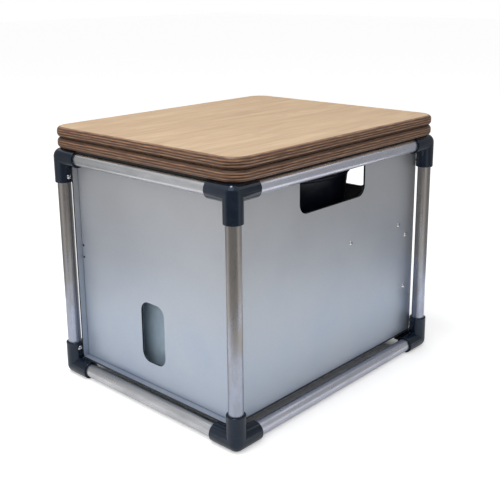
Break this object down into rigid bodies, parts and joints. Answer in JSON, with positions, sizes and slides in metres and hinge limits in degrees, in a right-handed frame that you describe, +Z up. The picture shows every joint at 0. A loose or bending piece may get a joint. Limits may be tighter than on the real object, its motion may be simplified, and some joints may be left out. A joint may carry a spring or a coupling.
{
  "type": "urine-diverting toilet",
  "caption": "Portable dry toilet: tube frame in corner connectors with composite panels, hinged plywood seat and lid, urine separator over a canister and a bucket.",
  "frame": {"origin": "on the ground under the middle of the whole part", "axes": "+Z up, +Y towards the back (the hinge side), +X to the right seen from the front"},
  "size_m": [0.3714, 0.456, 0.3835],
  "materials": {
    "tube_aluminium": "mill",
    "connector_plastic": "moulded satin",
    "composite_panel": "silver coated",
    "angle_aluminium": "mill",
    "stainless_steel": "polished",
    "black_plastic": "satin",
    "birch_plywood": "oiled",
    "separator_plastic": "gloss",
    "natural_polyethylene": "blow moulded, milky",
    "bucket_plastic": "moulded",
    "foam_strip": "closed-cell foam",
    "galvanised_wire": "galvanised"
  },
  "bodies": {
    "frame": {"bail_grip": "black_plastic", "bracket_front_left": "angle_aluminium", "bracket_front_right": "angle_aluminium", "bracket_rear_left": "angle_aluminium", "bracket_rear_right": "angle_aluminium", "bucket_bail": "galvanised_wire", "bucket_rail_left": "angle_aluminium", "bucket_rail_right": "angle_aluminium", "bucket_stay": "angle_aluminium", "connector_bottom_front_left": "connector_plastic", "connector_bottom_front_right": "connector_plastic", "connector_bottom_rear_left": "connector_plastic", "connector_bottom_rear_right": "connector_plastic", "connector_screws": "stainless_steel", "connector_top_front_left": "connector_plastic", "connector_top_front_right": "connector_plastic", "connector_top_rear_left": "connector_plastic", "connector_top_rear_right": "connector_plastic", "floor_angle_left": "angle_aluminium", "floor_angle_right": "angle_aluminium", "panel_back": "composite_panel", "panel_floor": "composite_panel", "panel_front": "composite_panel", "panel_left": "composite_panel", "panel_nuts": "stainless_steel", "panel_pins": "black_plastic", "panel_right": "composite_panel", "panel_screws": "stainless_steel", "post_front_left": "tube_aluminium", "post_front_right": "tube_aluminium", "post_rear_left": "tube_aluminium", "post_rear_right": "tube_aluminium", "rail_bottom_front": "tube_aluminium", "rail_bottom_left": "tube_aluminium", "rail_bottom_rear": "tube_aluminium", "rail_bottom_right": "tube_aluminium", "rail_top_front": "tube_aluminium", "rail_top_left": "tube_aluminium", "rail_top_rear": "tube_aluminium", "rail_top_right": "tube_aluminium", "solids_bucket": "bucket_plastic", "urine_canister": "natural_polyethylene"},
    "seat": {"lid_hinge_lower_left": "stainless_steel", "lid_hinge_lower_right": "stainless_steel", "lid_hinge_lower_screws": "stainless_steel", "lid_hinge_pin_left": "stainless_steel", "lid_hinge_pin_right": "stainless_steel", "seat_board": "birch_plywood", "seat_clip_left": "connector_plastic", "seat_clip_right": "connector_plastic", "seat_clip_screws": "stainless_steel", "seat_seals": "foam_strip", "separator": "separator_plastic", "separator_screws": "stainless_steel"},
    "lid": {"lid_board": "birch_plywood", "lid_hinge_upper_left": "stainless_steel", "lid_hinge_upper_right": "stainless_steel", "lid_hinge_upper_screws": "stainless_steel"}
  },
  "joints": [
    {"name": "seat_hinge", "type": "hinge", "parent": "frame", "child": "seat", "pos_m": [0, 0.215, 0.33927], "axis": [-1, 0, 0], "range_deg": [0, 90]},
    {"name": "lid_hinge", "type": "hinge", "parent": "seat", "child": "lid", "pos_m": [0, 0.2249, 0.36802], "axis": [-1, 0, 0], "range_deg": [0, 105]}
  ]
}
